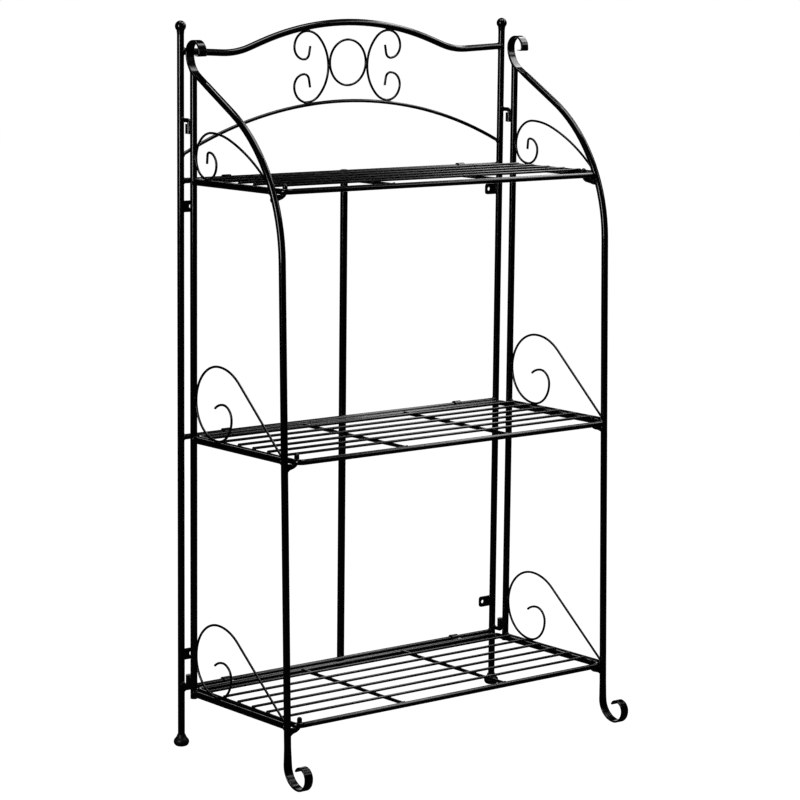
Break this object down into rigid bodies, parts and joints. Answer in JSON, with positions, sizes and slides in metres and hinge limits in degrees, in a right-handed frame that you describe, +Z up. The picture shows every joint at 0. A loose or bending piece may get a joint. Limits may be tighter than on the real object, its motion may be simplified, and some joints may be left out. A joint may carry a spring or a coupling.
{
  "type": "bakers rack",
  "caption": "Black painted steel bakers rack with wire shelves that fold up on a back panel, scrolled side frames on hook hinges, an arched crown and rolled feet.",
  "frame": {"origin": "middle of the overall box on the floor", "axes": "+X to the rack's right as seen from the front, +Y from the front to the back panel, +Z up"},
  "size_m": [0.6226, 0.322, 1.0538],
  "materials": {
    "black_paint": "gloss",
    "black_plastic": "satin"
  },
  "bodies": {
    "back_panel": {"left_rear_post": "black_paint", "right_rear_post": "black_paint", "left_ball_finial": "black_paint", "right_ball_finial": "black_paint", "left_rear_foot": "black_plastic", "right_rear_foot": "black_plastic", "crown_rail": "black_paint", "crown_arch_rod": "black_paint", "crown_ring": "black_paint", "left_crown_scroll": "black_paint", "right_crown_scroll": "black_paint", "top_back_rail": "black_paint", "middle_back_rail": "black_paint", "bottom_back_rail": "black_paint", "centre_upright": "black_paint", "wall_fixing_tabs": "black_paint", "left_hinge_hooks": "black_paint", "right_hinge_hooks": "black_paint"},
    "left_side_frame": {"left_front_upright": "black_paint", "left_rear_upright": "black_paint", "left_hinge_sockets": "black_paint", "left_top_shelf_catch": "black_paint", "left_middle_shelf_catch": "black_paint", "left_bottom_shelf_catch": "black_paint", "left_top_side_rail": "black_paint", "left_top_side_scroll": "black_paint", "left_middle_side_rail": "black_paint", "left_middle_side_scroll": "black_paint", "left_bottom_side_rail": "black_paint", "left_bottom_side_scroll": "black_paint"},
    "right_side_frame": {"right_front_upright": "black_paint", "right_rear_upright": "black_paint", "right_hinge_sockets": "black_paint", "right_top_shelf_catch": "black_paint", "right_middle_shelf_catch": "black_paint", "right_bottom_shelf_catch": "black_paint", "right_top_side_rail": "black_paint", "right_top_side_scroll": "black_paint", "right_middle_side_rail": "black_paint", "right_middle_side_scroll": "black_paint", "right_bottom_side_rail": "black_paint", "right_bottom_side_scroll": "black_paint"},
    "top_shelf": {"top_shelf_frame": "black_paint", "top_shelf_slats": "black_paint", "top_shelf_cross_wires": "black_paint", "top_shelf_hinge_clips": "black_paint"},
    "middle_shelf": {"middle_shelf_frame": "black_paint", "middle_shelf_slats": "black_paint", "middle_shelf_cross_wires": "black_paint", "middle_shelf_hinge_clips": "black_paint"},
    "bottom_shelf": {"bottom_shelf_frame": "black_paint", "bottom_shelf_slats": "black_paint", "bottom_shelf_cross_wires": "black_paint", "bottom_shelf_hinge_clips": "black_paint"}
  },
  "joints": [
    {"name": "bottom_shelf_hinge", "type": "hinge", "parent": "back_panel", "child": "bottom_shelf", "pos_m": [0, 0.1485, 0.0855], "axis": [-1, 0, 0], "range_deg": [0, 80]},
    {"name": "middle_shelf_hinge", "type": "hinge", "parent": "back_panel", "child": "middle_shelf", "pos_m": [0, 0.1485, 0.458], "axis": [-1, 0, 0], "range_deg": [0, 80]},
    {"name": "top_shelf_hinge", "type": "hinge", "parent": "back_panel", "child": "top_shelf", "pos_m": [0, 0.1485, 0.8275], "axis": [-1, 0, 0], "range_deg": [0, 78]},
    {"name": "left_side_hinge", "type": "hinge", "parent": "back_panel", "child": "left_side_frame", "pos_m": [-0.3, 0.12696, 0.45], "axis": [0, 0, 1], "range_deg": [-0.15, 0.4]},
    {"name": "right_side_hinge", "type": "hinge", "parent": "back_panel", "child": "right_side_frame", "pos_m": [0.3, 0.12696, 0.45], "axis": [0, 0, 1], "range_deg": [-0.4, 0.15]}
  ]
}
